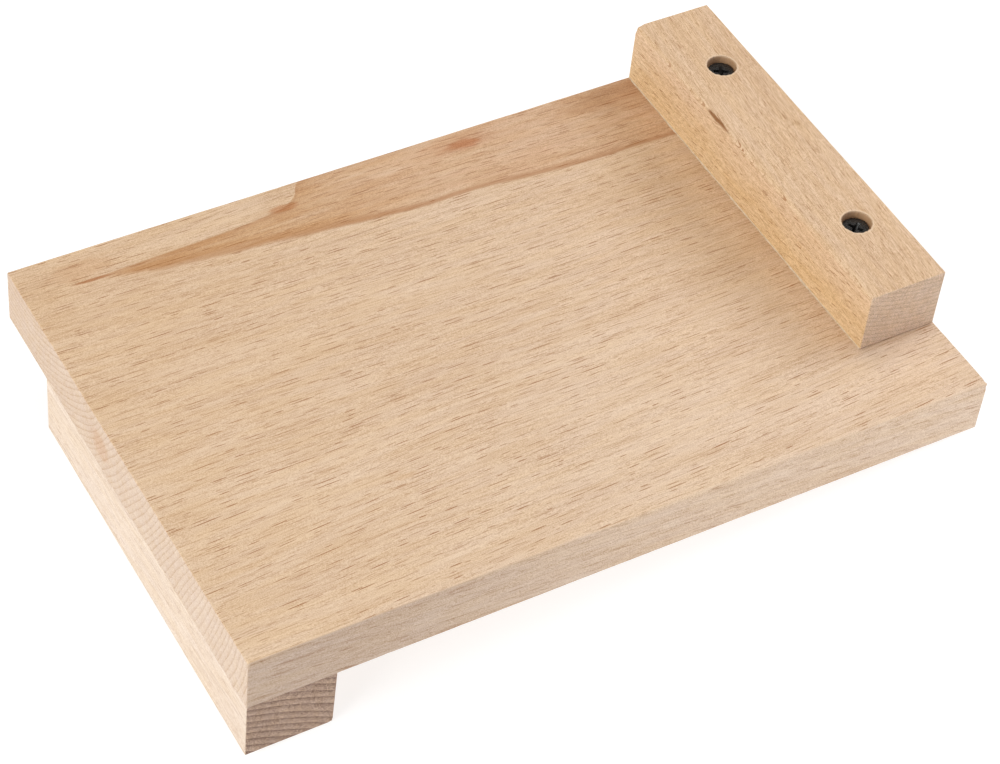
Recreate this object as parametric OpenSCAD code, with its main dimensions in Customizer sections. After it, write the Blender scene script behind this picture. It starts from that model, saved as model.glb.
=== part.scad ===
// Bench hook: a board with a stop screwed on top at one end and a cleat screwed underneath at the other.
// X runs along the board from the cleat to the stop, Y across it, and Z up.
// The origin is the centre of the board's underside, which rests on the bench top.

/* [Board] */
// Length of the board, along X
board_length = 254; // [150:1:400]
// Width of the board, along Y
board_width = 170; // [145:1:300]
// Thickness of the board
board_thickness = 20; // [14:0.5:40]
// Radius of the board's sanded edges
board_edge_radius = 0.5; // [0.2:0.1:3]

/* [Stop and cleat] */
// Length of the stop and of the cleat, along Y
fence_length = 141; // [75:1:145]
// Width of the stop and of the cleat, along X
fence_width = 28; // [24:0.5:60]
// Height of the stop and of the cleat
fence_height = 22.5; // [12:0.5:60]
// Radius of the sanded edges of the stop and the cleat
fence_edge_radius = 0.5; // [0.2:0.1:1.5]
// Radius of the long inner edge that the hand meets
fence_hand_radius = 2; // [0.5:0.1:5]
// Thickness of the glue, and depth of the keyed seat in the board that holds it
glue_thickness = 0.1; // [0.05:0.05:0.5]

/* [Screw places] */
// Distance from the end of a fence to the middle of its nearest screw
screw_end_distance = 29.5; // [12:0.5:35]
// Distance from the outer face of a fence to the middle of its screws
screw_edge_distance = 12.5; // [8:0.5:16]
// Depth of a screw head's flat top below the face of the wood
head_recess = 2.5; // [0.5:0.1:6]
// Wood left in the board beyond the tip of a screw
tip_cover = 5; // [2:0.5:8]

/* [Screws] */
// Diameter of a screw's head
head_diameter = 9; // [7:0.1:11]
// Height of the upright rim of the head
head_rim = 0.5; // [0.3:0.1:1]
// Diameter of the plain shank under the head
shank_diameter = 3.3; // [2.8:0.1:4]
// Outer diameter of the thread
thread_diameter = 4.5; // [4.1:0.1:5.5]
// Diameter of the solid core inside the thread
core_diameter = 3; // [2:0.1:3.4]
// Distance from one thread crest to the next
thread_pitch = 2.2; // [1.4:0.1:3]
// Length of the tapered tip
tip_length = 5; // [3:0.5:7]
// Distance across the wings of the cross recess
recess_width = 4.6; // [3:0.1:5.5]
// Depth of the cross recess
recess_depth = 2.4; // [1.2:0.1:2.8]
// Thickness of each wing of the cross recess
recess_wing = 0.9; // [0.5:0.1:1.4]

/* [Clearances] */
// Gap round a screw head in its counterbore
head_clearance = 0.5; // [0.1:0.1:1.5]
// Gap round the thread where it passes through a fence
thread_clearance = 0.25; // [0.1:0.05:1]
// Depth of the pilot hole beyond the tip of a screw
pilot_overrun = 1; // [0:0.5:1.5]

/* [Hidden] */
$fn = 96;
// Extra length that carries a cut clear through a face
overcut = 1;
wood_colour = [0.86, 0.73, 0.58];
glue_colour = [0.83, 0.72, 0.50];
screw_colour = [0.13, 0.12, 0.12];

// A screw reaches from its recess in the fence to the wood left under its tip
screw_length = fence_height - head_recess + board_thickness - tip_cover;
// Height of the conical part of a 90 degree head
head_cone = (head_diameter - shank_diameter) / 2;
// The thread fills the board and one pitch of the fence above it
thread_length = board_thickness - tip_cover + thread_pitch;
thread_turns = floor((thread_length - tip_length) / thread_pitch);
// A crest's flat top and its sloping sides, each along the screw
crest_flat = 0.15 * thread_pitch;
crest_slope = 0.2 * thread_pitch;
// Height of a screw head's flat top above the fence's glued face
head_top = fence_height - head_recess;
// Places of the two screws in a fence's own frame
screw_x = fence_width - screw_edge_distance;
clear_end_screw_y = screw_end_distance;
flush_end_screw_y = fence_length - screw_end_distance;

// Rectangle with its own radius at each corner, counter-clockwise from the origin
module soft_rectangle(width, height, radii) {
    corners = [
        [radii[0], radii[0]],
        [width - radii[1], radii[1]],
        [width - radii[2], height - radii[2]],
        [radii[3], height - radii[3]]
    ];
    polygon([
        [radii[0], 0], [width - radii[1], 0],
        [width, radii[1]], [width, height - radii[2]],
        [width - radii[2], height], [radii[3], height],
        [0, height - radii[3]], [0, radii[0]]
    ]);
    for (i = [0:3])
        translate(corners[i]) circle(r = radii[i]);
}

// Block with sanded edges; the long edge along Y at x = 0, z = height has a radius of its own
module sanded_block(size, edge_radius, hand_radius) {
    edges = [edge_radius, edge_radius, edge_radius, edge_radius];
    intersection() {
        linear_extrude(height = size[2])
            soft_rectangle(size[0], size[1], edges);
        translate([0, size[1], 0]) rotate([90, 0, 0])
            linear_extrude(height = size[1])
                soft_rectangle(size[0], size[2], [edge_radius, edge_radius, edge_radius, hand_radius]);
        rotate([90, 0, 90])
            linear_extrude(height = size[0])
                soft_rectangle(size[1], size[2], edges);
    }
}

// A fence's own frame has x = 0 at its inner face, y = 0 at its end that is clear of the board's side and
// z = 0 at its glued face.

// Carries a fence from its own frame to the top of the board, flush with the +X and +Y edges
module on_top() {
    translate([board_length / 2 - fence_width, board_width / 2 - fence_length, board_thickness])
        children();
}

// Carries the same fence to the underside, flush with the -X and -Y edges: each axis is reversed
module underneath() {
    translate([fence_width - board_length / 2, fence_length - board_width / 2, 0])
        rotate([0, 0, 180]) mirror([0, 0, 1]) children();
}

// Puts a child at a screw's axis in a fence's own frame, with z = 0 at the top of the screw's head
module at_screw(screw_y) {
    translate([screw_x, screw_y, head_top]) children();
}

// Puts a child at both screws of a fence
module at_screws() {
    for (screw_y = [clear_end_screw_y, flush_end_screw_y])
        at_screw(screw_y) children();
}

// Half outline of one thread crest, its upper foot at height z
function crest(z) = [
    [core_diameter / 2, z],
    [thread_diameter / 2, z - crest_slope],
    [thread_diameter / 2, z - crest_slope - crest_flat],
    [core_diameter / 2, z - 2 * crest_slope - crest_flat]
];

// Half outline of a whole screw, from the middle of its head down to its tip
function screw_outline() = concat(
    [
        [0, 0],
        [head_diameter / 2, 0],
        [head_diameter / 2, -head_rim],
        [shank_diameter / 2, -head_rim - head_cone],
        [shank_diameter / 2, -screw_length + thread_length + crest_slope],
        [core_diameter / 2, -screw_length + thread_length]
    ],
    [
        for (turn = [0:thread_turns - 1])
            for (point = crest(-screw_length + thread_length - (turn + 0.4) * thread_pitch))
                point
    ],
    [
        [core_diameter / 2, -screw_length + tip_length],
        [0, -screw_length]
    ]
);

// The space that a screw fills, before its cross recess is cut
module screw_body() {
    rotate_extrude() polygon(screw_outline());
}

// Cross recess: two tapered wings and the cone in the middle
module cross_recess() {
    for (turn = [0, 90])
        rotate([90, 0, turn])
            linear_extrude(height = recess_wing, center = true)
                polygon([
                    [-recess_width / 2, overcut], [-recess_width / 2, 0],
                    [-recess_wing / 2, -recess_depth], [recess_wing / 2, -recess_depth],
                    [recess_width / 2, 0], [recess_width / 2, overcut]
                ]);
    translate([0, 0, -recess_depth])
        cylinder(h = recess_depth + overcut, d1 = recess_wing, d2 = recess_width / 2);
}

// Black countersunk wood screw with a cross recess
module screw() {
    difference() {
        screw_body();
        cross_recess();
    }
}

// Hole for a screw through a fence: counterbore, seat for the head's cone and clearance bore
module fence_hole() {
    counterbore_depth = head_recess + head_rim;
    translate([0, 0, -head_rim])
        cylinder(h = counterbore_depth + overcut, d = head_diameter + 2 * head_clearance);
    translate([0, 0, -head_rim - head_cone])
        cylinder(h = head_cone, d1 = shank_diameter, d2 = head_diameter);
    translate([0, 0, -head_top - overcut])
        cylinder(h = head_top + overcut - head_rim, d = thread_diameter + 2 * thread_clearance);
}

// The batten that both fences are made from
module fence() {
    difference() {
        sanded_block([fence_width, fence_length, fence_height], fence_edge_radius, fence_hand_radius);
        at_screws() fence_hole();
    }
}

// The film of glue in a fence's seat; the rounded edges of the fence stay dry
module glue_line() {
    difference() {
        translate([fence_edge_radius, fence_edge_radius, -glue_thickness])
            cube([fence_width - 2 * fence_edge_radius, fence_length - 2 * fence_edge_radius, glue_thickness]);
        at_screws()
            translate([0, 0, -head_top - glue_thickness - overcut])
                cylinder(h = glue_thickness + 2 * overcut, d = thread_diameter + 2 * thread_clearance);
    }
}

// The shallow seat under a fence, open at the board's end and side
module glue_seat() {
    translate([0, 0, -glue_thickness])
        cube([fence_width + overcut, fence_length + overcut, glue_thickness + overcut]);
}

// What a fence takes out of the board: its seat, the shape of its two screws and their pilot holes past the tips
module fence_cuts() {
    glue_seat();
    at_screws() {
        screw_body();
        translate([0, 0, -screw_length - pilot_overrun])
            cylinder(h = tip_length + pilot_overrun, d = core_diameter);
    }
}

module board() {
    color(wood_colour)
        difference() {
            translate([-board_length / 2, -board_width / 2, 0])
                sanded_block([board_length, board_width, board_thickness], board_edge_radius, board_edge_radius);
            on_top() fence_cuts();
            underneath() fence_cuts();
        }
}

module stop() {
    color(wood_colour) on_top() fence();
}

module cleat() {
    color(wood_colour) underneath() fence();
}

module stop_glue_line() {
    color(glue_colour) on_top() glue_line();
}

module cleat_glue_line() {
    color(glue_colour) underneath() glue_line();
}

module stop_screw(screw_y) {
    color(screw_colour) on_top() at_screw(screw_y) screw();
}

module cleat_screw(screw_y) {
    color(screw_colour) underneath() at_screw(screw_y) screw();
}

board();
stop();
cleat();
stop_glue_line();
cleat_glue_line();
stop_screw(clear_end_screw_y);  // stop_screw_near
stop_screw(flush_end_screw_y);  // stop_screw_far
cleat_screw(flush_end_screw_y);  // cleat_screw_near
cleat_screw(clear_end_screw_y);  // cleat_screw_far
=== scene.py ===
"""The looks of a beech bench hook: refined wood, screws and glue, and the studio it stands in."""

import math

import bmesh
import bpy
import numpy as np
from mathutils import Matrix, Vector, noise


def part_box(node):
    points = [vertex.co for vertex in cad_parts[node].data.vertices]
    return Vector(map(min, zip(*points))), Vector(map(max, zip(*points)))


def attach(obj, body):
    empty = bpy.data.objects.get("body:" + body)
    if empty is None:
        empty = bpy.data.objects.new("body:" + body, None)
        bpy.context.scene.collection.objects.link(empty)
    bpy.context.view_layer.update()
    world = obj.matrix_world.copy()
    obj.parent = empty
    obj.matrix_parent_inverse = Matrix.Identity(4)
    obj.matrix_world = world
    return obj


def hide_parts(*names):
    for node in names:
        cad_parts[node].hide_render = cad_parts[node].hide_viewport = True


MM = 0.001
X, Y, Z = 0, 1, 2
LOW, HIGH = 0, 1
CHART = "OFBake"

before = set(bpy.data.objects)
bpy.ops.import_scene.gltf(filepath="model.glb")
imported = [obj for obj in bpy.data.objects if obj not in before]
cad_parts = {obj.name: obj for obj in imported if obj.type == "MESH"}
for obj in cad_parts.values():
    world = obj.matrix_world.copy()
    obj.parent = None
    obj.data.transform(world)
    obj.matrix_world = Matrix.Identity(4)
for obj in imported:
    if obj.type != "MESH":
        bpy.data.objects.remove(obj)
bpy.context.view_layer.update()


# ---------------------------------------------------------------- sizes
def box_mm(node):
    """Lowest and highest corner of a CAD node, in millimetres."""
    low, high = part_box(node)
    return np.array(low) / MM, np.array(high) / MM


BOARD_LOW, BOARD_HIGH = box_mm("board")
STOP_LOW, STOP_HIGH = box_mm("stop")
CLEAT_LOW, CLEAT_HIGH = box_mm("cleat")

# Screws, measured down from the flat top of the head
HEAD_RADIUS = 4.5
HEAD_RIM = 0.5
HEAD_CONE = 2.85
SHANK_RADIUS = 1.65
SHANK_END = 17.8
THREAD_RADIUS = 2.25
CORE_RADIUS = 1.5
THREAD_PITCH = 2.2
TIP_LENGTH = 5
SCREW_LENGTH = 35
# Holes: the counterbore and the bore in a fence, the pilot hole in the board, and the seat for the glue
HOLE_RADIUS = 4.88
BORE_RADIUS = 2.5
PILOT_RADIUS = 2.32
SEAT_DEPTH = 0.1


# ---------------------------------------------------------------- meshes
def mesh_object(name, points, faces, chart_points=None):
    """A new object from points in millimetres, with one chart point for each corner of each face."""
    mesh = bpy.data.meshes.new(name)
    mesh.from_pydata((np.asarray(points) * MM).tolist(), [], [list(f) for f in faces])
    if chart_points is not None:
        layer = mesh.uv_layers.new(name=CHART)
        layer.data.foreach_set("uv", np.asarray(chart_points, float).ravel())
    obj = bpy.data.objects.new(name, mesh)
    bpy.context.scene.collection.objects.link(obj)
    return obj


def shade(obj, sharp_degrees):
    """Smooth shading, with creases where faces meet at more than the angle given."""
    obj.data.shade_smooth()
    obj.data.set_sharp_from_angle(angle=math.radians(sharp_degrees))
    return obj


def stations(low, high, steps, spacing):
    """Places along one side of a block: close together by its edges, evenly spaced between them."""
    steps = np.array(steps)
    first, last = low + steps[-1], high - steps[-1]
    inner = np.linspace(first, last, max(2, round((last - first) / spacing) + 1))
    return np.concatenate([low + steps[:-1], inner, (high - steps[:-1])[::-1]])


def block_grid(low, high, steps, spacing, charts):
    """Points, faces and chart points of a block whose six faces are fine grids."""
    places = [stations(low[a], high[a], steps, spacing) for a in (X, Y, Z)]
    points, faces, chart_points = [], [], []
    start = 0
    for (axis, side), (u_axis, u0, v0, u1, v1) in charts.items():
        a, b = (axis + 1) % 3, (axis + 2) % 3
        across, up = np.meshgrid(places[a], places[b], indexing="ij")
        grid = np.empty(across.shape + (3,))
        grid[..., axis] = (low, high)[side][axis]
        grid[..., a] = across
        grid[..., b] = up
        index = start + np.arange(across.size).reshape(across.shape)
        corners = [index[:-1, :-1], index[1:, :-1], index[1:, 1:], index[:-1, 1:]]
        if side == LOW:
            corners.reverse()
        quads = np.stack(corners, -1).reshape(-1, 4)
        share = (grid - low) / (high - low)
        v_axis = b if u_axis == a else a
        chart = np.stack([u0 + (u1 - u0) * share[..., u_axis], v0 + (v1 - v0) * share[..., v_axis]], -1)
        points.append(grid.reshape(-1, 3))
        faces.append(quads)
        chart_points.append(chart.reshape(-1, 2)[quads - start])
        start += across.size
    points, faces = np.concatenate(points), np.concatenate(faces)
    keys = np.round(points / 1e-4).astype(np.int64)
    _, first, same = np.unique(keys, axis=0, return_index=True, return_inverse=True)
    return points[first], same.reshape(-1)[faces], np.concatenate(chart_points)


def distance_to_line(points, start, end):
    """Distance from each point to the line between two ends."""
    start, end = np.array(start, float), np.array(end, float)
    along = end - start
    length = along @ along
    share = np.clip((points - start) @ along / length, 0, 1) if length else np.zeros(len(points))
    return np.linalg.norm(points - start - share[:, None] * along, axis=1)


def edge_radii(points, radius, softer, seed):
    """Radius of the sanded edge near each point: uneven, a little nicked, larger by the softer lines."""
    sway_size, nick_size, nick_rarity = 11, 1.7, 0.42
    radii = np.empty(len(points))
    for i, p in enumerate(points):
        place = Vector(p) + Vector((seed, 0, 0))
        sway = noise.noise(place / sway_size)
        nick = max(0.0, noise.noise(place / nick_size) - nick_rarity)
        radii[i] = radius * (1 + 0.35 * sway) + 0.9 * nick
    for start, end, soft_radius in softer:
        away = distance_to_line(points, start, end)
        share = np.clip((2.6 * soft_radius - away) / (1.5 * soft_radius), 0, 1)
        share = share * share * (3 - 2 * share)
        radii += (soft_radius - radii) * share
    return radii


def rounded(points, low, high, radii):
    """The block's points moved so that its edges are arcs of the radius given for each point."""
    radii = radii[:, None]
    core = np.clip(points, low + radii, high - radii)
    away = points - core
    return core + radii * away / np.linalg.norm(away, axis=1, keepdims=True)


def wooden_block(name, low, high, radius, steps, spacing, charts, softer=(), seed=0, drift=None):
    """A piece of wood with sanded edges, mapped with one chart for each face. Drift moves its points a
    little, for a piece that isn't quite square."""
    points, faces, chart_points = block_grid(low, high, steps, spacing, charts)
    radii = edge_radii(points, radius, softer, seed)
    points = rounded(points, low, high, radii)
    if drift is not None:
        points = points + drift(points)
    return mesh_object(name, points, faces, chart_points)


def tube(name, rings, chart=(0, 0, 1, 1)):
    """A closed solid through rings of points. Its faces look outwards where the rings run from the lowest
    up, each anticlockwise from above. The chart's last row holds the two caps."""
    rings = np.asarray(rings, float)
    count, sides = rings.shape[:2]
    u0, v0, u1, v1 = chart
    faces, chart_points = [], []
    for i in range(count - 1):
        for j in range(sides):
            k = (j + 1) % sides
            faces.append((i * sides + j, i * sides + k, (i + 1) * sides + k, (i + 1) * sides + j))
            across = [j / sides, (j + 1) / sides, (j + 1) / sides, j / sides]
            up = [i / count, i / count, (i + 1) / count, (i + 1) / count]
            chart_points += [(u0 + (u1 - u0) * a, v0 + (v1 - v0) * b) for a, b in zip(across, up)]
    top = (count - 1) * sides
    for cap in ([top + j for j in range(sides)], list(range(sides))[::-1]):
        faces.append(cap)
        for j in cap:
            turn = 2 * math.pi * (j % sides) / sides
            across, up = 0.5 + 0.4 * math.cos(turn), 0.5 + 0.4 * math.sin(turn)
            chart_points.append((u0 + (u1 - u0) * across, v1 - (v1 - v0) / count * up))
    return mesh_object(name, rings.reshape(-1, 3), faces, chart_points)


def turned_rings(outline, sides, wobble=0.0, seed=0.0, waves=2.2):
    """Rings round Z from (radius, height) pairs given from the lowest up, each a little out of round."""
    turns = np.arange(sides) * 2 * math.pi / sides
    rings = []
    for radius, height in outline:
        out = [noise.noise(Vector((math.cos(t) * waves + seed, math.sin(t) * waves, height * 0.6)))
               for t in turns]
        reach = radius + wobble * np.array(out)
        rings.append(np.stack([reach * np.cos(turns), reach * np.sin(turns), np.full(sides, height)], -1))
    return np.array(rings)


def cut_out(obj, cutter):
    """Cuts the cutter out of the object, then removes the cutter."""
    modifier = obj.modifiers.new("cut", "BOOLEAN")
    modifier.operation = "DIFFERENCE"
    modifier.solver = "EXACT"
    modifier.object = cutter
    evaluated = obj.evaluated_get(bpy.context.evaluated_depsgraph_get())
    mesh = bpy.data.meshes.new_from_object(evaluated)
    obj.modifiers.clear()
    old, obj.data = obj.data, mesh
    bpy.data.meshes.remove(old)
    bpy.data.meshes.remove(cutter.data)
    return obj


def moved(obj, offset, upside_down=False):
    """Turns the object over if asked, then moves it by an offset in millimetres."""
    turn = Matrix.Rotation(math.pi, 4, "X") if upside_down else Matrix.Identity(4)
    obj.data.transform(Matrix.Translation(Vector(offset) * MM) @ turn)
    return obj


# ---------------------------------------------------------------- shader nodes
class Nodes:
    """Adds and links the shader nodes of one material."""

    def __init__(self, name):
        self.material = bpy.data.materials.new(name)
        self.material.use_nodes = True
        self.tree = self.material.node_tree
        self.tree.nodes.clear()

    def feed(self, socket, value):
        """Links a socket to another, or sets its own value."""
        if isinstance(value, bpy.types.NodeSocket):
            self.tree.links.new(value, socket)
        else:
            socket.default_value = value

    def add(self, kind, settings=None, **inputs):
        """A node with its settings, and its inputs by name with _ for a space."""
        node = self.tree.nodes.new("ShaderNode" + kind)
        for key, value in (settings or {}).items():
            setattr(node, key, value)
        for key, value in inputs.items():
            self.feed(node.inputs[key.replace("_", " ")], value)
        return node

    def math(self, operation, *values, clamp=False):
        node = self.add("Math", {"operation": operation, "use_clamp": clamp})
        for socket, value in zip(node.inputs, values):
            self.feed(socket, value)
        return node.outputs[0]

    def ramp(self, value, start, end, low=0.0, high=1.0):
        """Smooth step from low at start to high at end."""
        node = self.add("MapRange", {"interpolation_type": "SMOOTHSTEP"}, Value=value)
        for key, setting in (("From Min", start), ("From Max", end), ("To Min", low), ("To Max", high)):
            self.feed(node.inputs[key], setting)
        return node.outputs["Result"]

    def vector(self, x, y, z):
        return self.add("CombineXYZ", X=x, Y=y, Z=z).outputs[0]

    def split(self, vector):
        return self.add("SeparateXYZ", Vector=vector).outputs

    def scaled_place(self, scale):
        """The place on the object, in metres, times a scale."""
        node = self.add("VectorMath", {"operation": "SCALE"}, Vector=self.add("TexCoord").outputs["Object"])
        node.inputs["Scale"].default_value = scale
        return node.outputs[0]

    def noise(self, vector, detail=2.0, roughness=0.5, output="Fac"):
        node = self.add("TexNoise", Vector=vector, Scale=1.0, Detail=detail, Roughness=roughness)
        return node.outputs[output]

    def mix(self, share, first, second, blend="MIX"):
        node = self.add("Mix", {"data_type": "RGBA", "blend_type": blend, "clamp_factor": True})
        self.feed(node.inputs[0], share)
        self.feed(node.inputs[6], first)
        self.feed(node.inputs[7], second)
        return node.outputs[2]

    def surface(self, colour, roughness, normal=None, **inputs):
        shader = self.add("BsdfPrincipled")
        self.feed(shader.inputs["Base Color"], colour)
        self.feed(shader.inputs["Roughness"], roughness)
        for key, value in inputs.items():
            self.feed(shader.inputs[key.replace("_", " ")], value)
        if normal is not None:
            self.feed(shader.inputs["Normal"], normal)
        output = self.add("OutputMaterial")
        self.tree.links.new(shader.outputs[0], output.inputs["Surface"])
        return self.material


def rgb(r, g, b):
    return (r, g, b, 1.0)


# ---------------------------------------------------------------- wood
# Share of a face's normal along an axis from which it starts to count as a face across that axis, and the
# share by which it fully counts: for the long sides, for the end grain and for a face's painted light tint
FACING = (0.4, 0.9)
END_FACING = (0.55, 0.95)
PAINTED_LIGHT_FACING = (0.3, 0.9)
# Room for one ray along its own height, and half the height of a ray, in millimetres
RAY_DEPTH_STEP = 14.0
RAY_DEPTH = 7.5
# The shortest ray as a share of the range of lengths, the faintest one's strength, the soft border of a ray
# in shares of its size squared, and how far a ray sinks against the height of the fibres
RAY_SHORTEST = 0.3
RAY_FAINTEST = 0.2
RAY_BORDER = (1.15, 0.5)
RAY_SINK = -0.6
# Size of the fibres' waves along them and across, and how far they sway up and down, in millimetres
BEND_LENGTH = 85.0
BEND_WIDTH = 30.0
BEND_DIP = 1.5
# Sizes of the grain's fields along the fibres and across them, in millimetres
FIBRE_WIDTH = 0.22
SPECKLE_LENGTH = 0.4
SPECKLE_WIDTH = 0.24
LINE_WIDTH = 0.4
STREAK_SIZE = (45.0, 1.9)
MOTTLE_SIZE = (60.0, 17.0)
BLUSH_SIZE = (22.0, 3.2)
# Levels of the noise from which a dark line starts to show and shows fully, and the same for the blush
LINE_LEVELS = (0.07, 0.25)
BLUSH_LEVELS = (-0.25, 0.25)
# Share of a growth ring where its dark late wood gives way to the next ring's early wood
LATE_WOOD_END = 0.93
# The rings' slow sway and their quicker waver: the size of each along the tree, its waves round the tree,
# its size outwards and its detail, and then its strength in rings
RING_SWAY = ((120.0, 1.5, 9.0, 1.0), 1.6)
RING_WAVER = ((30.0, 14.0, 3.0, 2.0), 0.18)
# The finer rays against the large ones: how many more, their room along the fibres, width and length
FINE_RAYS = (1.7, 0.5, 0.8, 0.45)
# A mark's ragged edge: the size of the noise along the fibres and across, and its strength
MARK_RAGGED = ((5.0, 1.2), 1.6)
MARK_BORDER = (1.2, 0.1)
# The pale torn lip round a drilled hole: its outer border and its strength
LIP_BORDER = (0.75, 0.25)
LIP_STRENGTH = 0.6


class Wood(Nodes):
    """Solid beech: one set of fields through the whole piece, so every face shows the cut that it makes."""

    def __init__(self, name, grain, look):
        super().__init__(name)
        self.look = look
        self.place = self.split(self.scaled_place(1 / MM))
        self.grain, self.side_axis = grain, Y if grain == X else X
        self.normal = self.split(self.add("TexCoord").outputs["Normal"])
        self.end = self.ramp(self.math("ABSOLUTE", self.normal[grain]), *END_FACING)

    def straighten(self):
        """Distances along, out from and round the tree's middle line, for the growth rings. The fibres
        slope a little against it, so they have places of their own, and the rays fan out round a line
        of their own."""
        along, side, height = self.place[self.grain], self.place[self.side_axis], self.place[Z]
        self.along = along
        waves = self.vector(self.math("DIVIDE", along, BEND_LENGTH),
                            self.math("DIVIDE", side, BEND_WIDTH),
                            self.math("DIVIDE", height, BEND_WIDTH))
        bend = self.split(self.noise(waves, 1.0, output="Color"))
        sway, dip = (self.math("SUBTRACT", part, 0.5) for part in bend[:2])
        straight_side = self.math("MULTIPLY_ADD", sway, self.look["bend"], side)
        straight_height = self.math("MULTIPLY_ADD", dip, BEND_DIP, height)
        self.radius, self.angle = self.polar(straight_side, straight_height, self.look["pith"])
        (near, near_slope), (far, far_slope) = self.look["side_slope"]
        slope = self.ramp(side, near, far, near_slope, far_slope)
        self.side = self.math("SUBTRACT", straight_side, self.math("MULTIPLY", along, slope))
        flat_rise, side_rise = self.look["rise"]
        rise = self.ramp(self.math("ABSOLUTE", self.normal[self.side_axis]), *FACING, flat_rise, side_rise)
        self.height = self.math("SUBTRACT", straight_height, self.math("MULTIPLY", along, rise))
        self.ray_radius, self.ray_angle = self.polar(self.side, self.height, self.look["ray_centre"])

    def polar(self, side, height, centre):
        """Distance from the leaning line through the point given, and the angle round it."""
        out = self.math("SUBTRACT", side, centre[self.side_axis])
        from_centre = self.math("SUBTRACT", self.along, centre[self.grain])
        rise = self.math("MULTIPLY", from_centre, self.look["lean"])
        up = self.math("SUBTRACT", self.math("SUBTRACT", height, centre[Z]), rise)
        if centre[Z] > 0:
            up = self.math("MULTIPLY", up, -1.0)
        square = self.math("MULTIPLY_ADD", out, out, self.math("MULTIPLY", up, up))
        return self.math("SQRT", square), self.math("ARCTAN2", out, up)

    def rings(self):
        """Growth rings: each darkens slowly outwards and ends at a sharp line."""
        phase = self.math("DIVIDE", self.radius, self.look["ring_spacing"])
        for sizes, strength in (RING_SWAY, RING_WAVER):
            phase = self.math("ADD", phase, self.math("MULTIPLY", self.ring_noise(*sizes), strength))
        phase = self.math("FRACT", phase)
        darkness = self.math("POWER", phase, self.look["ring_power"])
        return self.math("MULTIPLY", darkness, self.ramp(phase, 1.0, LATE_WOOD_END))

    def ring_noise(self, length, turns, depth, detail):
        """Noise that follows the rings."""
        place = self.vector(self.math("DIVIDE", self.along, length),
                            self.math("MULTIPLY", self.angle, turns),
                            self.math("DIVIDE", self.radius, depth))
        return self.noise(place, detail)

    def rays(self, turns, length_step, width, length):
        """Rays: thin upright lenses, fanned out round a line of their own. Each is darkest where its reach
        from its middle, as a share of its size, is small."""
        cells = self.vector(self.math("MULTIPLY", self.ray_angle, turns),
                            self.math("DIVIDE", self.along, length_step),
                            self.math("DIVIDE", self.ray_radius, RAY_DEPTH_STEP))
        voronoi = self.add("TexVoronoi", Vector=cells, Scale=1.0, Randomness=1.0)
        offset = self.add("VectorMath", {"operation": "SUBTRACT"})
        self.feed(offset.inputs[0], cells)
        self.feed(offset.inputs[1], voronoi.outputs["Position"])
        gap = self.split(offset.outputs[0])
        chance = self.split(voronoi.outputs["Color"])
        half = self.math("MULTIPLY_ADD", chance[0], length, length * RAY_SHORTEST)
        thick = self.math("DIVIDE", self.math("MULTIPLY", gap[0], self.ray_radius), turns * width)
        tall = self.math("DIVIDE", self.math("MULTIPLY", gap[1], length_step), half)
        deep = self.math("MULTIPLY", gap[2], RAY_DEPTH_STEP / RAY_DEPTH)
        reach = self.math("MULTIPLY", thick, thick)
        for part in (tall, deep):
            reach = self.math("MULTIPLY_ADD", part, part, reach)
        darkness = self.math("MULTIPLY_ADD", chance[1], 1 - RAY_FAINTEST, RAY_FAINTEST)
        return self.math("MULTIPLY", self.ramp(reach, *RAY_BORDER), darkness)

    def stretched(self, length, width, detail=2.0, roughness=0.55, seed=0.0):
        """Noise drawn out along the fibres, from -0.5 to 0.5."""
        place = self.vector(self.math("DIVIDE", self.along, length),
                            self.math("MULTIPLY_ADD", self.side, 1 / width, seed),
                            self.math("DIVIDE", self.height, width))
        return self.math("SUBTRACT", self.noise(place, detail, roughness), 0.5)

    def mark(self, centre, halves):
        """A soft patch round a point, ragged along the fibres: used for marks in the wood and for the
        board's patch of painted shade.
        """
        size, strength = MARK_RAGGED
        reach = self.math("MULTIPLY", self.stretched(*size, 2.0, 0.6, centre[X]), strength)
        for place, middle, half in zip(self.place, centre, halves):
            away = self.math("DIVIDE", self.math("SUBTRACT", place, middle), half)
            reach = self.math("MULTIPLY_ADD", away, away, reach)
        return self.ramp(reach, *MARK_BORDER)

    def heartwood(self, colour, heart):
        """The redder heart of the tree, which ends at one ring and, towards the board's far edge, at a line
        of its own. Both of its borders are darker, and soft over a millimetre or less."""
        waver = self.math("MULTIPLY", self.stretched(*heart["waver_size"], 2.0), heart["waver"])
        radius = self.math("ADD", self.radius, waver)
        edge = self.add("FloatCurve")
        curve = edge.mapping.curves[0]
        points = heart["edge"]
        curve.points[0].location, curve.points[1].location = points[0], points[-1]
        for point in points[1:-1]:
            curve.points.new(*point)
        edge.mapping.update()
        from_end = self.math("SUBTRACT", self.place[X], BOARD_LOW[X])
        share_along = self.math("DIVIDE", from_end, BOARD_HIGH[X] - BOARD_LOW[X])
        self.feed(edge.inputs["Value"], share_along)
        start = BOARD_HIGH[Y] + heart["edge_start"]
        far = self.math("MULTIPLY_ADD", edge.outputs[0], -heart["edge_reach"], start)
        depth = self.math("ADD", self.math("SUBTRACT", far, self.place[Y]), waver)
        inside = self.ramp(depth, -0.3, 0.5)
        last_ring = heart["radius"]
        core = self.math("MULTIPLY", self.ramp(radius, last_ring + 0.3, last_ring - 0.3), inside)
        rim = self.math("MULTIPLY", self.ramp(radius, last_ring + 0.3, last_ring - 0.1),
                        self.ramp(radius, last_ring - 1.0, last_ring - 0.3))
        side_rim = self.math("MULTIPLY", self.ramp(depth, 2.5, 0.0), core)
        patches = self.stretched(*heart["patch_size"], 2.0)
        patchy = self.math("ADD", heart["share"], self.math("MULTIPLY", patches, heart["patchiness"]))
        tint = self.mix(self.ramp(share_along, *heart["tint_change"]), heart["tint"], heart["far_tint"])
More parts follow.
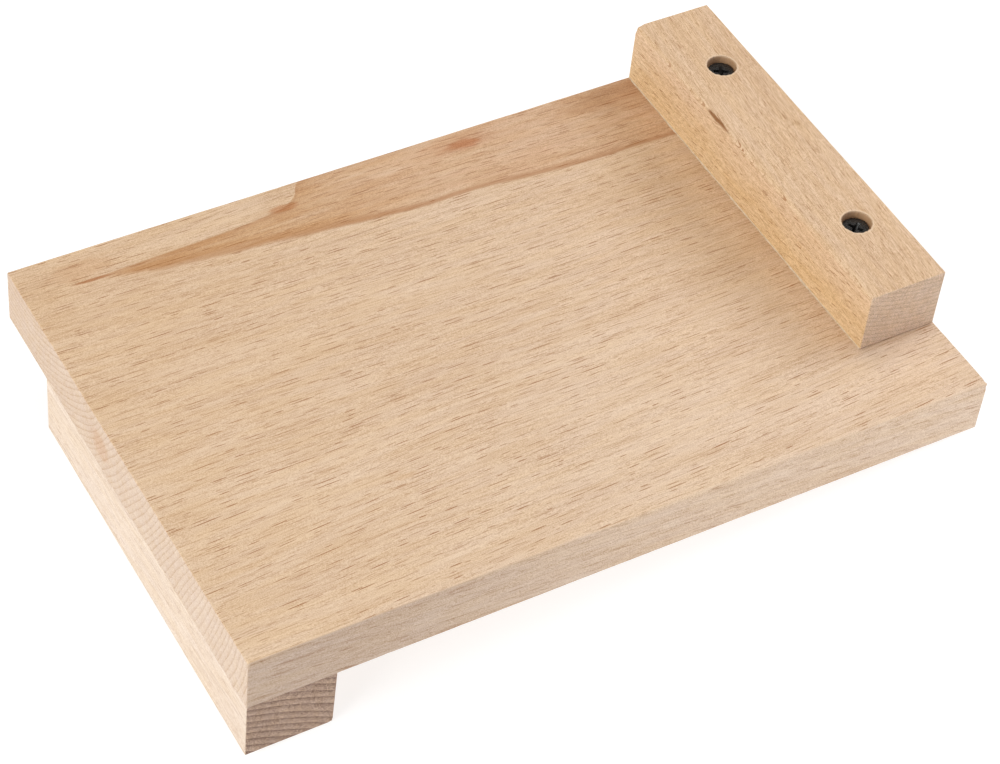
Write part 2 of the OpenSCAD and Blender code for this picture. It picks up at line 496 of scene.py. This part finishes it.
        colour = self.tinted(colour, self.math("MULTIPLY", core, patchy, clamp=True), tint)
        fading = self.ramp(share_along, *heart["line_change"], *heart["line_strength"])
        line = self.math("MULTIPLY", self.math("MULTIPLY", rim, inside), fading)
        line = self.math("MAXIMUM", line, self.math("MULTIPLY", side_rim, heart["side_line_strength"]))
        return self.mix(line, colour, heart["line_colour"])

    def drilled(self, colour, hole, speckle):
        """Inside a screw hole the wood is darker, the more so deeper down: partly the drilled wall's own
        colour and partly painted shade. The drill has left its rim lighter.
        """
        x, y, rim = hole
        off = self.vector(self.math("SUBTRACT", self.place[X], x),
                          self.math("SUBTRACT", self.place[Y], y), 0.0)
        away = self.add("VectorMath", {"operation": "LENGTH"}, Vector=off).outputs["Value"]
        ragged = self.math("MULTIPLY_ADD", speckle, 1.2, away)
        lip = self.math("MULTIPLY", self.ramp(ragged, *(HOLE_RADIUS + border for border in LIP_BORDER)),
                        self.ramp(away, HOLE_RADIUS - 0.1, HOLE_RADIUS + 0.1))
        colour = self.mix(self.math("MULTIPLY", lip, LIP_STRENGTH), colour, self.look["lip"])
        # Painted shade on the hole's wall, darker deeper down, over the drilled wood's own darker colour
        hole_shade_mask = self.ramp(away, HOLE_RADIUS + 0.4, HOLE_RADIUS + 0.1)
        deep = self.math("ABSOLUTE", self.math("SUBTRACT", self.place[Z], rim))
        deep = self.ramp(self.math("MULTIPLY_ADD", speckle, 2.0, deep), 0.0, 0.8, 0.4, 0.85)
        return self.mix(self.math("MULTIPLY", hole_shade_mask, deep), colour, self.look["hole"])

    def by_face(self, flat, side, end):
        """One value on the top and underside, one on the long sides and one on the end grain."""
        on_side = self.ramp(self.math("ABSOLUTE", self.normal[self.side_axis]), *FACING, flat, side)
        return self.math("MULTIPLY_ADD", self.end, end - flat, on_side)

    def tinted(self, colour, share, tint):
        """The colour times a tint, where the share is 1."""
        return self.mix(share, colour, tint, "MULTIPLY")


def beech(name, grain, look, holes=(), heart=None, marks=()):
    """Solid beech. Grain is the axis along the fibres, and each drilled hole is given by its middle and
    its rim's height."""
    wood = Wood(name, grain, look)
    wood.straighten()
    ring = wood.rings()
    ray_sizes = [look[key] for key in ("ray_turns", "ray_step", "ray_width", "ray_length")]
    ray = wood.rays(*ray_sizes)
    fine_ray = wood.rays(*(size * share for size, share in zip(ray_sizes, FINE_RAYS)))
    fibre = wood.stretched(look["fibre_length"], FIBRE_WIDTH, 0.0)
    speckle = wood.stretched(SPECKLE_LENGTH, SPECKLE_WIDTH, 0.0, 0.5, 3.0)
    line = wood.ramp(wood.stretched(look["line_length"], LINE_WIDTH, 0.0, 0.5, 7.0), *LINE_LEVELS)
    streak = wood.stretched(*STREAK_SIZE)
    mottle = wood.stretched(*MOTTLE_SIZE, 1.0)
    blush = wood.stretched(*BLUSH_SIZE, 1.0, 0.5, 11.0)

    grainy = wood.math("MULTIPLY", fibre, look["fibre"])
    others = ((speckle, look["speckle"]), (streak, look["streak"]), (line, -look["line"]))
    for field, strength in others:
        grainy = wood.math("MULTIPLY_ADD", field, strength, grainy)
    tone = wood.math("MULTIPLY_ADD", grainy, wood.by_face(*look["contrast"]), look["tone"])
    tone = wood.math("MULTIPLY_ADD", mottle, look["mottle"], tone)
    ring_share = wood.math("MULTIPLY_ADD", wood.end, look["end_ring"] - look["ring"], look["ring"])
    tone = wood.math("SUBTRACT", tone, wood.math("MULTIPLY", ring, ring_share), clamp=True)
    colour = wood.mix(tone, look["dark"], look["light"])
    colour = wood.mix(wood.end, colour, wood.mix(tone, look["end_dark"], look["end_light"]))
    colour = wood.tinted(colour, wood.ramp(blush, *BLUSH_LEVELS), look["blush"])
    if heart is not None:
        colour = wood.heartwood(colour, heart)
    # Marks in the wood, and on the board a patch of painted shade in front of the stop
    for centre, halves, tint in marks:
        colour = wood.tinted(colour, wood.mark(centre, halves), tint)
    rays = wood.math("MAXIMUM", ray, wood.math("MULTIPLY", fine_ray, look["fine_ray"]))
    colour = wood.mix(wood.math("MULTIPLY", rays, wood.by_face(*look["ray"])), colour, look["ray_colour"])
    # Slow fades along the piece: partly the wood's own colour and partly painted shade
    for axis, start, stop, tint in look["wood_and_shade_fades"]:
        colour = wood.tinted(colour, wood.ramp(wood.place[axis], start, stop), tint)
    # Painted light on the faces across one axis, changing along another: shade on the board's long sides,
    # warm bounced light on the stop's faces
    for facing_axis, along_axis, start, stop, tint in look["painted_light_tints"]:
        facing = wood.ramp(wood.math("ABSOLUTE", wood.normal[facing_axis]), *PAINTED_LIGHT_FACING)
        share = wood.ramp(wood.place[along_axis], start, stop)
        colour = wood.tinted(colour, wood.math("MULTIPLY", facing, share), tint)

    for hole in holes:
        colour = wood.drilled(colour, hole, speckle)

    relief = wood.math("MULTIPLY_ADD", rays, RAY_SINK, wood.math("ADD", fibre, speckle))
    bump = wood.add("Bump", Height=relief, Strength=look["relief"], Distance=0.0001)
    return wood.surface(colour, look["roughness"], bump.outputs[0], **{"Specular_IOR_Level": 0.25})


# ---------------------------------------------------------------- screws and their holes
SCREWS = ("stop_screw_near", "stop_screw_far", "cleat_screw_near", "cleat_screw_far")
# How far a screw was set off its mark along X and Y, in millimetres
HAND_SET = {"stop_screw_near": (-0.5, 1.1), "stop_screw_far": (0.3, 0.5)}
# How far each screw was turned, in radians
SCREW_TURNS = (0.56, -0.49, 0.9, 0.5)


def screw_axis(node):
    """Where a screw stands: x, y, and the height of its head's flat top, in millimetres. The stop's screws
    were set by hand, a little off their marks."""
    low, high = box_mm(node)
    down = node.startswith("stop")
    middle = (low + high) / 2
    off_x, off_y = HAND_SET.get(node, (0.0, 0.0))
    return middle[X] + off_x, middle[Y] + off_y, high[Z] if down else low[Z]


def screw_rings():
    """Rings of a screw that hangs from its head's flat top at z = 0: tip, helical thread, shank, cone and
    rim."""
    sides, ring_step, bugle_rings, half_crest = 48, 0.2, 9, 0.24
    turns = np.arange(sides) * 2 * math.pi / sides
    rings = []
    for depth in np.arange(SCREW_LENGTH, SHANK_END - 0.01, -ring_step):
        taper = min(1.0, (SCREW_LENGTH - depth + 0.25) / TIP_LENGTH)
        fade = min(1.0, max(0.0, (depth - SHANK_END) / THREAD_PITCH))
        wave = np.mod(depth / THREAD_PITCH + turns / (2 * math.pi), 1.0)
        crest = np.clip(1 - np.abs(wave - 0.5) / half_crest, 0, 1) * fade
        root = CORE_RADIUS + (SHANK_RADIUS - CORE_RADIUS) * (1 - fade)
        reach = (root + (THREAD_RADIUS - root) * crest) * taper
        rings.append(np.stack([reach * np.cos(turns), reach * np.sin(turns), np.full(sides, -depth)], -1))
    neck = HEAD_RIM + HEAD_CONE
    outline = [(SHANK_RADIUS, -SHANK_END + 0.3), (SHANK_RADIUS, -neck - 0.6)]
    for share in (i / bugle_rings for i in range(bugle_rings + 1)):
        spread = (HEAD_RADIUS - SHANK_RADIUS) * share ** 1.25
        outline.append((SHANK_RADIUS + spread, -neck + HEAD_CONE * share))
    outline += [(HEAD_RADIUS, -0.22), (HEAD_RADIUS - 0.05, -0.1), (HEAD_RADIUS - 0.2, -0.02),
                (HEAD_RADIUS - 0.5, 0.0), (HEAD_RADIUS - 1.2, 0.0)]
    return np.concatenate([rings, turned_rings(outline, sides)])


def cross_cutter():
    """The tool that presses a cross recess: four tapered wings round a tapering middle."""
    top, bottom = 0.3, -2.4
    deep_wing, top_wing = 0.8, 2.75
    rings = []
    for height in np.linspace(bottom, top, 7):
        share = (height - bottom) / (top - bottom)
        wing = deep_wing + (top_wing - deep_wing) * share ** 0.8
        half = 0.34 + 0.24 * share  # half the thickness of a wing
        inner = half + 0.28 + 0.35 * share  # where the wing meets the middle
        ring = []
        for quarter in range(4):
            turn = quarter * math.pi / 2
            along, across = math.cos(turn), math.sin(turn)
            corners = [(wing, -half), (wing + 0.08, 0), (wing, half), (inner, half + 0.02),
                       (half + 0.1, inner * 0.72)]
            for x, y in corners:
                ring.append((x * along - y * across, x * across + y * along, height))
        rings.append(ring)
    return tube("cross", rings)


def make_screw(node, turn):
    """One black screw, its recess turned by an angle, in place of the CAD's screw."""
    obj = tube(node + "_metal", screw_rings())
    obj = cut_out(obj, cross_cutter())
    obj.data.transform(Matrix.Rotation(turn, 4, "Z"))
    moved(obj, screw_axis(node), upside_down=not node.startswith("stop"))
    return shade(obj, 32)


def hole_cutter(node, chart):
    """The drilled hole for one screw: a counterbore with a torn rim, then a bore through the fence."""
    x, y, top = screw_axis(node)
    down = node.startswith("stop")
    face = STOP_HIGH[Z] - top if down else top - CLEAT_LOW[Z]
    floor = -HEAD_RIM
    seat_foot = floor - (HEAD_RADIUS - BORE_RADIUS)
    through = -(STOP_HIGH[Z] - STOP_LOW[Z]) - 1.0
    bore = [(BORE_RADIUS, through), (BORE_RADIUS, seat_foot), (HEAD_RADIUS + 0.05, floor),
            (HOLE_RADIUS, floor)]
    wall = [(HOLE_RADIUS, floor + 0.6), (HOLE_RADIUS, face - 0.5), (HOLE_RADIUS + 0.03, face - 0.1),
            (HOLE_RADIUS + 0.1, face), (HOLE_RADIUS + 0.7, face + 0.6)]
    sides = 90
    drilled = turned_rings(bore, sides, wobble=0.14, seed=x + y)
    torn = turned_rings(wall, sides, wobble=0.3, seed=x + y, waves=8.0)
    cutter = tube("hole", np.concatenate([drilled, torn]), chart)
    return moved(cutter, (x, y, top), upside_down=not down)


def pilot_cutter(node, chart):
    """The pilot hole for one screw in the board."""
    x, y, top = screw_axis(node)
    outline = [(PILOT_RADIUS, -SCREW_LENGTH - 1.0), (PILOT_RADIUS, -SCREW_LENGTH + 10), (PILOT_RADIUS, -10)]
    cutter = tube("pilot", turned_rings(outline, 40), chart)
    return moved(cutter, (x, y, top), upside_down=not node.startswith("stop"))


def seat_cutter(low, high, face, chart):
    """The shallow seat for the glue under a fence, open at the board's end and side."""
    flush, overcut = 0.5, 2
    low, high = low.copy(), high.copy()
    low[Z], high[Z] = face - SEAT_DEPTH, face + SEAT_DEPTH
    for axis in (X, Y):
        if abs(low[axis] - BOARD_LOW[axis]) < flush:
            low[axis] -= overcut
        if abs(high[axis] - BOARD_HIGH[axis]) < flush:
            high[axis] += overcut
    corners = [(low[X], low[Y]), (high[X], low[Y]), (high[X], high[Y]), (low[X], high[Y])]
    return tube("seat", [[(x, y, z) for x, y in corners] for z in (low[Z], high[Z])], chart)


# Charts, which keep the faces of a piece apart when its looks are baked. A face is named by the axis across
# it and its side, and its chart by the axis that runs along U and by its corners: U and V at the lowest
# places, then U and V at the highest.
BOARD_CHARTS = {
    (Z, HIGH): (X, 0.004, 0.004, 0.386, 0.996),
    (Z, LOW): (X, 0.392, 0.004, 0.774, 0.996),
    (Y, LOW): (Z, 0.780, 0.004, 0.896, 0.496),
    (Y, HIGH): (Z, 0.780, 0.504, 0.896, 0.996),
    (X, LOW): (Z, 0.902, 0.004, 0.996, 0.470),
    (X, HIGH): (Z, 0.902, 0.478, 0.996, 0.944),
}
BOARD_HOLE_CHART = (0.902, 0.952, 0.996, 0.996)
FENCE_CHARTS = {
    (Z, HIGH): (X, 0.006, 0.006, 0.270, 0.620),
    (Z, LOW): (X, 0.282, 0.006, 0.546, 0.620),
    (X, LOW): (Z, 0.558, 0.006, 0.770, 0.620),
    (X, HIGH): (Z, 0.782, 0.006, 0.994, 0.620),
    (Y, LOW): (X, 0.006, 0.636, 0.310, 0.994),
    (Y, HIGH): (X, 0.322, 0.636, 0.626, 0.994),
}
FENCE_HOLE_CHARTS = ((0.640, 0.636, 0.994, 0.806), (0.640, 0.820, 0.994, 0.994))

# The looks of the three pieces of beech, with lengths in millimetres:
# tone is how much of the light colour there is against the dark one, and fibre, speckle, line, streak,
# mottle, ring and end_ring are the strengths of the fields that shift it
# contrast and ray have one value for the top and underside, one for the long sides and one for the ends
# pith is a point on the tree's middle line, which leans upwards by the slope lean, and the rays fan out
# from a line through ray_centre: ray_turns of them to a radian, with room for one in each ray_step
# side_slope is the fibres' slope sideways at two places across the piece, and rise is their slope upwards
# as the flat faces show it and as the sides do
# a fade tints the whole piece along an axis from one place to another, partly as the wood's own colour and
# partly as painted shade, and a painted light tint does so on the faces across its first axis, along its
# second one
BOARD_LOOK = {
    "light": rgb(0.83, 0.645, 0.495), "dark": rgb(0.42, 0.215, 0.095), "tone": 0.79,
    "end_light": rgb(0.71, 0.585, 0.515), "end_dark": rgb(0.46, 0.28, 0.18),
    # hole: the colour inside a screw hole, partly the drilled wall's own darker wood and partly painted
    # shade
    "blush": rgb(0.99, 0.965, 0.90), "hole": rgb(0.44, 0.24, 0.12), "lip": rgb(0.85, 0.68, 0.5),
    "fibre": 0.32, "fibre_length": 5.0, "speckle": 0.8, "line": 0.2, "line_length": 22.0,
    "streak": 0.34, "mottle": 0.25, "contrast": (1.0, 1.35, 1.3), "relief": 0.3, "roughness": 0.6,
    "pith": (-110.0, 75.9, 65.7), "lean": -0.0278,
    "ring": 0.1, "end_ring": 0.55, "ring_spacing": 2.1, "ring_power": 4.0,
    "ray_centre": (-110.0, 30.0, 200.0), "ray_turns": 130.0, "ray_step": 9.5, "ray_width": 0.13,
    "ray_length": 4.2, "ray": (1.0, 0.5, 0.12), "fine_ray": 0.55, "ray_colour": rgb(0.32, 0.115, 0.03),
    "bend": 4.0, "side_slope": ((-80, 0.035), (20, 0.0)), "rise": (0.0, -0.05),
    # darker towards the cleat's end and the far edge: partly the wood's own colour and partly painted shade
    "wood_and_shade_fades": ((X, 20, -130, rgb(0.985, 0.96, 0.91)), (Y, -90, 85, rgb(0.96, 0.935, 0.90))),
    # painted shade: the long sides darker and bluer towards the cleat's end, where less light reaches them
    "painted_light_tints": ((Y, X, 40, -127, rgb(0.81, 0.83, 0.915)),),
}
FENCE_LOOK = dict(
    BOARD_LOOK, lean=0.004, ray_turns=110.0, ray_step=4.4, ray_length=1.8, streak=0.3, wood_and_shade_fades=(),
    painted_light_tints=())
STOP_LOOK = dict(
    FENCE_LOOK, light=rgb(0.82, 0.60, 0.42), dark=rgb(0.40, 0.20, 0.08), tone=0.735,
    end_light=rgb(0.81, 0.60, 0.445), end_dark=rgb(0.34, 0.22, 0.15),
    fibre=0.7, fibre_length=4.0, line=0.14, line_length=12.0, contrast=(1.1, 1.2, 2.1),
    pith=(138.0, 0.0, 148.0), end_ring=0.42, ring_spacing=1.7,
    ray_centre=(158.0, 0.0, 148.0), ray_width=0.09, ray=(0.85, 0.85, 0.6), fine_ray=0.6,
    side_slope=((99, 0.07), (127, 0.07)), rise=(-0.018, -0.018),
    # painted reflection: the stop's front and back faces yellower towards the foot, where warm light
    # bounces onto them off the board
    painted_light_tints=((X, Z, 42, 24, rgb(1.0, 0.975, 0.84)),))
CLEAT_LOOK = dict(
    FENCE_LOOK, light=rgb(0.80, 0.66, 0.56), dark=rgb(0.50, 0.33, 0.22), tone=0.755,
    end_light=rgb(0.605, 0.425, 0.32), end_dark=rgb(0.20, 0.115, 0.08),
    fibre=0.6, contrast=(1.0, 1.2, 2.2),
    pith=(-162.0, 0.0, -118.0), end_ring=0.8, ring_spacing=2.6, ring_power=2.2,
    ray_centre=(-162.0, 0.0, -118.0), ray_width=0.08, ray=(0.4, 0.4, 0.12),
    side_slope=((-127, 0.0), (-99, 0.0)), rise=(-0.05, -0.05))
# The heart of the tree in the board: the radius of its last ring, and its border towards the far edge by
# shares of the board's length and of edge_reach. Its tint and its dark line change over a stretch that is
# given by shares of the board's length too. Its share of the tint shifts with patches in the wood.
HEART = {
    "radius": 45.7, "edge_start": 2.0, "edge_reach": 22.0, "waver": 0.9, "waver_size": (26.0, 9.0),
    "tint": rgb(0.80, 0.63, 0.45), "far_tint": rgb(0.90, 0.80, 0.73), "tint_change": (0.3, 0.6),
    "share": 0.8, "patchiness": 1.8, "patch_size": (30.0, 3.0),
    "line_change": (0.1, 0.6), "line_strength": (0.25, 0.62), "side_line_strength": 0.34,
    "edge": ((0.0, 0.70), (0.20, 0.66), (0.345, 0.54), (0.38, 0.36), (0.41, 0.05), (1.0, 0.0)),
    "line_colour": rgb(0.45, 0.22, 0.105),
}
# Marks in the wood, and one patch of painted shade: the middle and the half sizes of each, and its tint
BOARD_MARKS_AND_SHADE = (
    # The dark line at the heart's pointed end, and the tinge round it
    ((-105.0, 71.1, 20.0), (7.0, 0.8, 3.0), rgb(0.72, 0.52, 0.40)),
    ((-106.0, 76.5, 20.0), (12.0, 5.0, 6.0), rgb(0.94, 0.87, 0.80)),
    # A redder patch where the heart meets its border
    ((-36.0, 75.5, 20.0), (6.0, 2.0, 3.0), rgb(0.84, 0.66, 0.54)),
    # The knot, and the tinge round it
    ((31.0, 78.5, 20.0), (7.5, 2.6, 3.0), rgb(0.86, 0.66, 0.54)),
    ((31.0, 80.0, 20.0), (15.0, 5.0, 6.0), rgb(0.95, 0.88, 0.84)),
    # The darker heart beside the stop
    ((90.0, 79.0, 20.0), (30.0, 8.0, 6.0), rgb(0.88, 0.80, 0.72)),
    # Faint stains on the top and on the cleat's end of the board
    ((-54.0, -42.0, 20.0), (4.0, 1.6, 3.0), rgb(0.96, 0.91, 0.84)),
    ((-127.0, 15.0, 10.0), (3.0, 7.0, 6.0), rgb(0.93, 0.83, 0.75)),
    # Painted shade on the board in front of the stop, where the stop keeps light off the top
    ((96.0, 15.0, 20.0), (44.0, 72.0, 9.0), rgb(0.93, 0.905, 0.86)),
)
# The dark fleck on the stop's long inner edge
STOP_MARKS = (
    ((99.4, 33.7, 41.9), (0.75, 6.8, 0.9), rgb(0.42, 0.28, 0.18)),
)

# Places of the grid's first lines, in from each edge, for the board and for a fence
EDGE_STEPS = (0, 0.1, 0.2, 0.3, 0.42, 0.56, 0.75, 1.1, 1.8, 3.0)
FENCE_STEPS = (0, 0.1, 0.22, 0.36, 0.52, 0.75, 1.05, 1.4, 1.8, 2.1, 2.6, 3.4)


def dress(obj, slot, material, *nodes):
    """Gives a piece its material, and puts it in the place of CAD nodes. The slot is not used."""
    obj.data.materials.clear()
    obj.data.materials.append(material)
    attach(obj, "root")
    if nodes:
        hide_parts(*nodes)
    return obj


def board_drift(points):
    """The board's end by the stop was sawn a little out of square."""
    share_along = (points[:, X] - BOARD_LOW[X]) / (BOARD_HIGH[X] - BOARD_LOW[X])
    share_near = (BOARD_HIGH[Y] - points[:, Y]) / (BOARD_HIGH[Y] - BOARD_LOW[Y])
    move = np.zeros_like(points)
    move[:, X] = 0.5 * share_along * share_near
    move[:, Y] = -0.4 * share_along * share_near
    return move


def make_board():
    """The board, with its long near edge and one corner sanded softer than the rest."""
    near_edge = [(BOARD_LOW[X], BOARD_LOW[Y], BOARD_HIGH[Z]), (BOARD_HIGH[X], BOARD_LOW[Y], BOARD_HIGH[Z])]
    softer = [(*near_edge, 1.0), (near_edge[1], near_edge[1], 0.5)]
    obj = wooden_block("beech_board", BOARD_LOW, BOARD_HIGH, radius=0.4, steps=EDGE_STEPS, spacing=2.0,
                       charts=BOARD_CHARTS, softer=softer, seed=3, drift=board_drift)
    for node in SCREWS:
        obj = cut_out(obj, pilot_cutter(node, BOARD_HOLE_CHART))
    obj = cut_out(obj, seat_cutter(STOP_LOW, STOP_HIGH, BOARD_HIGH[Z], BOARD_HOLE_CHART))
    obj = cut_out(obj, seat_cutter(CLEAT_LOW, CLEAT_HIGH, BOARD_LOW[Z], BOARD_HOLE_CHART))
    material = beech("board_beech", X, BOARD_LOOK, heart=HEART, marks=BOARD_MARKS_AND_SHADE)
    return dress(shade(obj, 35), "board_wood", material, "board")


def cleat_drift(points):
    """The cleat's inner face stands a little out, and more so where it meets the board."""
    share_in = (points[:, X] - CLEAT_LOW[X]) / (CLEAT_HIGH[X] - CLEAT_LOW[X])
    share_up = (points[:, Z] - CLEAT_LOW[Z]) / (CLEAT_HIGH[Z] - CLEAT_LOW[Z])
    move = np.zeros_like(points)
    move[:, X] = share_in * (0.45 + 0.6 * share_up)
    return move


def make_fence(name, node, low, high, softer, look, seed, drift=None, marks=()):
    """The stop or the cleat, with its two drilled holes."""
    obj = wooden_block(name, low, high, radius=0.45, steps=FENCE_STEPS, spacing=1.6,
                       charts=FENCE_CHARTS, softer=softer, seed=seed, drift=drift)
    holes = []
    for screw, chart in zip([s for s in SCREWS if s.startswith(node)], FENCE_HOLE_CHARTS):
        obj = cut_out(obj, hole_cutter(screw, chart))
        x, y, _ = screw_axis(screw)
        holes.append((x, y, high[Z] if node == "stop" else low[Z]))
    material = beech(name + "_beech", Y, look, holes, marks=marks)
    return dress(shade(obj, 35), "fence_wood", material, node)


def seed_of(name):
    """A small number that differs from name to name."""
    return sum(ord(c) for c in name) % 97 / 3.0


def make_glue(name, node, low, high, face, inward, up):
    """The film of glue in its seat and the thin uneven bead squeezed out along the fence's inner foot."""
    seed = seed_of(node)
    foot = low[X] if inward < 0 else high[X]
    outer = high[X] if inward < 0 else low[X]
    rings = []
    for y in np.linspace(low[Y] + 0.3, high[Y] - 0.3, 180):
        swell = 0.5 + 0.5 * noise.noise(Vector((y / 9, 1.5, seed)))
        lump = max(0.0, noise.noise(Vector((y / 1.4, 4.5, seed))))
        out = 0.08 + 0.4 * swell * swell + 0.9 * lump * swell
        rise = 0.9 * out
        dry_edge = outer + inward * 0.4
        profile = [(dry_edge, face - up * SEAT_DEPTH), (dry_edge, face),
                   (foot - inward * 0.45, face), (foot - inward * 0.1, face + up * (0.25 + rise)),
                   (foot + inward * out * 0.45, face + up * rise * 0.6),
                   (foot + inward * out, face + up * 0.02),
                   (foot, face - up * 0.01), (foot, face - up * SEAT_DEPTH)]
        rings.append([(x, y, z) for x, z in profile])
    obj = tube(name, rings)
    for screw in [s for s in SCREWS if s.startswith(node.split("_")[0])]:
        x, y, _ = screw_axis(screw)
        outline = [(BORE_RADIUS, face - 2), (BORE_RADIUS, face + 2)]
        obj = cut_out(obj, moved(tube("bore", turned_rings(outline, 40)), (x, y, 0)))
    shell = bmesh.new()
    shell.from_mesh(obj.data)
    bmesh.ops.recalc_face_normals(shell, faces=shell.faces)
    shell.to_mesh(obj.data)
    shell.free()
    n = Nodes(name + "_dried")
    cloudy = n.noise(n.scaled_place(700.0), 2.0)
    colour = n.mix(cloudy, rgb(0.42, 0.27, 0.15), rgb(0.84, 0.68, 0.50))
    material = n.surface(colour, 0.4)
    return dress(shade(obj, 50), "glue", material, node)


def black_metal():
    """Black phosphated steel, a little cloudy in its colour and its shine."""
    n = Nodes("black_phosphate")
    cloud = n.noise(n.scaled_place(1800.0), 3.0, 0.6)
    colour = n.mix(cloud, rgb(0.016, 0.016, 0.017), rgb(0.075, 0.073, 0.072))
    bump = n.add("Bump", Height=cloud, Strength=0.25, Distance=0.00005)
    return n.surface(colour, n.ramp(cloud, 0.3, 0.7, 0.18, 0.38), bump.outputs[0], Metallic=0.6)


def long_edge(low, high, x, z, radius):
    """A fence's long edge at the x and z given: its two ends and its softer radius."""
    return (x, low[Y], z), (x, high[Y], z), radius


# The long inner edges that the hand meets
STOP_HAND = [long_edge(STOP_LOW, STOP_HIGH, STOP_LOW[X], STOP_HIGH[Z], 1.3)]
CLEAT_HAND = [long_edge(CLEAT_LOW, CLEAT_HIGH, CLEAT_HIGH[X], CLEAT_LOW[Z], 0.7)]

make_board()
make_fence("beech_stop", "stop", STOP_LOW, STOP_HIGH, STOP_HAND, STOP_LOOK, seed=21, marks=STOP_MARKS)
make_fence("beech_cleat", "cleat", CLEAT_LOW, CLEAT_HIGH, CLEAT_HAND, CLEAT_LOOK, seed=47,
           drift=cleat_drift)
make_glue("glue_under_stop", "stop_glue_line", STOP_LOW, STOP_HIGH, BOARD_HIGH[Z], -1, 1)
make_glue("glue_over_cleat", "cleat_glue_line", CLEAT_LOW, CLEAT_HIGH, BOARD_LOW[Z], 1, -1)
metal = black_metal()
for node, turn in zip(SCREWS, SCREW_TURNS):
    dress(make_screw(node, turn), "screw_metal", metal, node)


# ---------------------------------------------------------------- studio
# The strength of the floor's own light, and its reach from the hook in millimetres
FLOOR_GLOW = 0.75
FLOOR_REACH = 4000.0
# The softboxes: name, place and size in metres, power in watts, and colour
LIGHTS = (
    ("left", (-1.7, -0.3, 0.8), 1.2, 29, (0.94, 1.0, 1.0)),
    ("right", (1.3, 0.1, 1.1), 0.9, 10.4, (0.87, 0.91, 1.0)),
    ("top", (0.2, 0.6, 2.0), 1.2, 12.2, (1.0, 0.9, 0.72)),
    ("front", (0.38, -0.42, 0.16), 0.3, 0.8, (0.75, 0.85, 1.0)),
)


def make_floor():
    """A pale floor under the two edges that the hook rests on: the cleat's foot and the board's far end."""
    run = BOARD_HIGH[X] - CLEAT_HIGH[X]
    fall = BOARD_LOW[Z] - CLEAT_LOW[Z]
    tilt = math.atan2(fall, run)
    corners = [(x * FLOOR_REACH, y * FLOOR_REACH, 0) for x, y in ((-1, -1), (1, -1), (1, 1), (-1, 1))]
    floor = mesh_object("floor", corners, [(0, 1, 2, 3)])
    contact = Vector((CLEAT_HIGH[X], 0.0, CLEAT_LOW[Z] - 0.05)) * MM
    floor.data.transform(Matrix.Translation(contact) @ Matrix.Rotation(-tilt, 4, "Y"))
    n = Nodes("pale_floor")
    paint = n.add("AddShader")
    n.tree.links.new(n.add("BsdfDiffuse", Color=rgb(0.35, 0.35, 0.35)).outputs[0], paint.inputs[0])
    n.tree.links.new(n.add("Emission", Color=rgb(1, 1, 1), Strength=FLOOR_GLOW).outputs[0], paint.inputs[1])
    clear = n.add("BsdfTransparent")
    mixed = n.add("MixShader")
    n.tree.links.new(n.add("NewGeometry").outputs["Backfacing"], mixed.inputs[0])
    n.tree.links.new(paint.outputs[0], mixed.inputs[1])
    n.tree.links.new(clear.outputs[0], mixed.inputs[2])
    n.tree.links.new(mixed.outputs[0], n.add("OutputMaterial").inputs["Surface"])
    floor.data.materials.append(n.material)


def area_light(name, place, size, power, colour):
    """A square softbox at a place in metres, turned towards the middle of the object."""
    data = bpy.data.lights.new(name, "AREA")
    data.shape = "SQUARE"
    data.size = size
    data.energy = power
    data.color = colour
    obj = bpy.data.objects.new(name, data)
    obj.location = place
    obj.rotation_euler = (-Vector(place)).to_track_quat("-Z", "Y").to_euler()
    bpy.context.scene.collection.objects.link(obj)


def make_camera():
    """The camera: its bearing and height round the hook, its roll, its distance and its lens."""
    azimuth, elevation, roll = (math.radians(a) for a in (-34.21, 46.49, 6.77))
    aim = Vector((-0.01036, -0.02053, 0.020))
    distance = 0.90815
    level_reach = math.cos(elevation)
    back = Vector((math.sin(azimuth) * level_reach, -math.cos(azimuth) * level_reach, math.sin(elevation)))
    level = Vector((0, 0, 1)).cross(back).normalized()
    upright = back.cross(level)
    right = level * math.cos(roll) + upright * math.sin(roll)
    up = upright * math.cos(roll) - level * math.sin(roll)
    data = bpy.data.cameras.new("camera")
    data.lens = 107.23
    data.sensor_width = 36.0
    camera = bpy.data.objects.new("camera", data)
    turn = Matrix((right, up, back)).transposed().to_4x4()
    camera.matrix_world = Matrix.Translation(aim + back * distance) @ turn
    bpy.context.scene.collection.objects.link(camera)
    bpy.context.scene.camera = camera


def make_world():
    """Soft white light from all round."""
    world = bpy.data.worlds.new("soft_white")
    world.use_nodes = True
    sky = world.node_tree.nodes["Background"]
    sky.inputs["Color"].default_value = rgb(1, 1, 1)
    sky.inputs["Strength"].default_value = 0.3
    bpy.context.scene.world = world


make_floor()
make_world()
make_camera()
for light in LIGHTS:
    area_light(*light)
bpy.context.scene.view_settings.view_transform = "Standard"
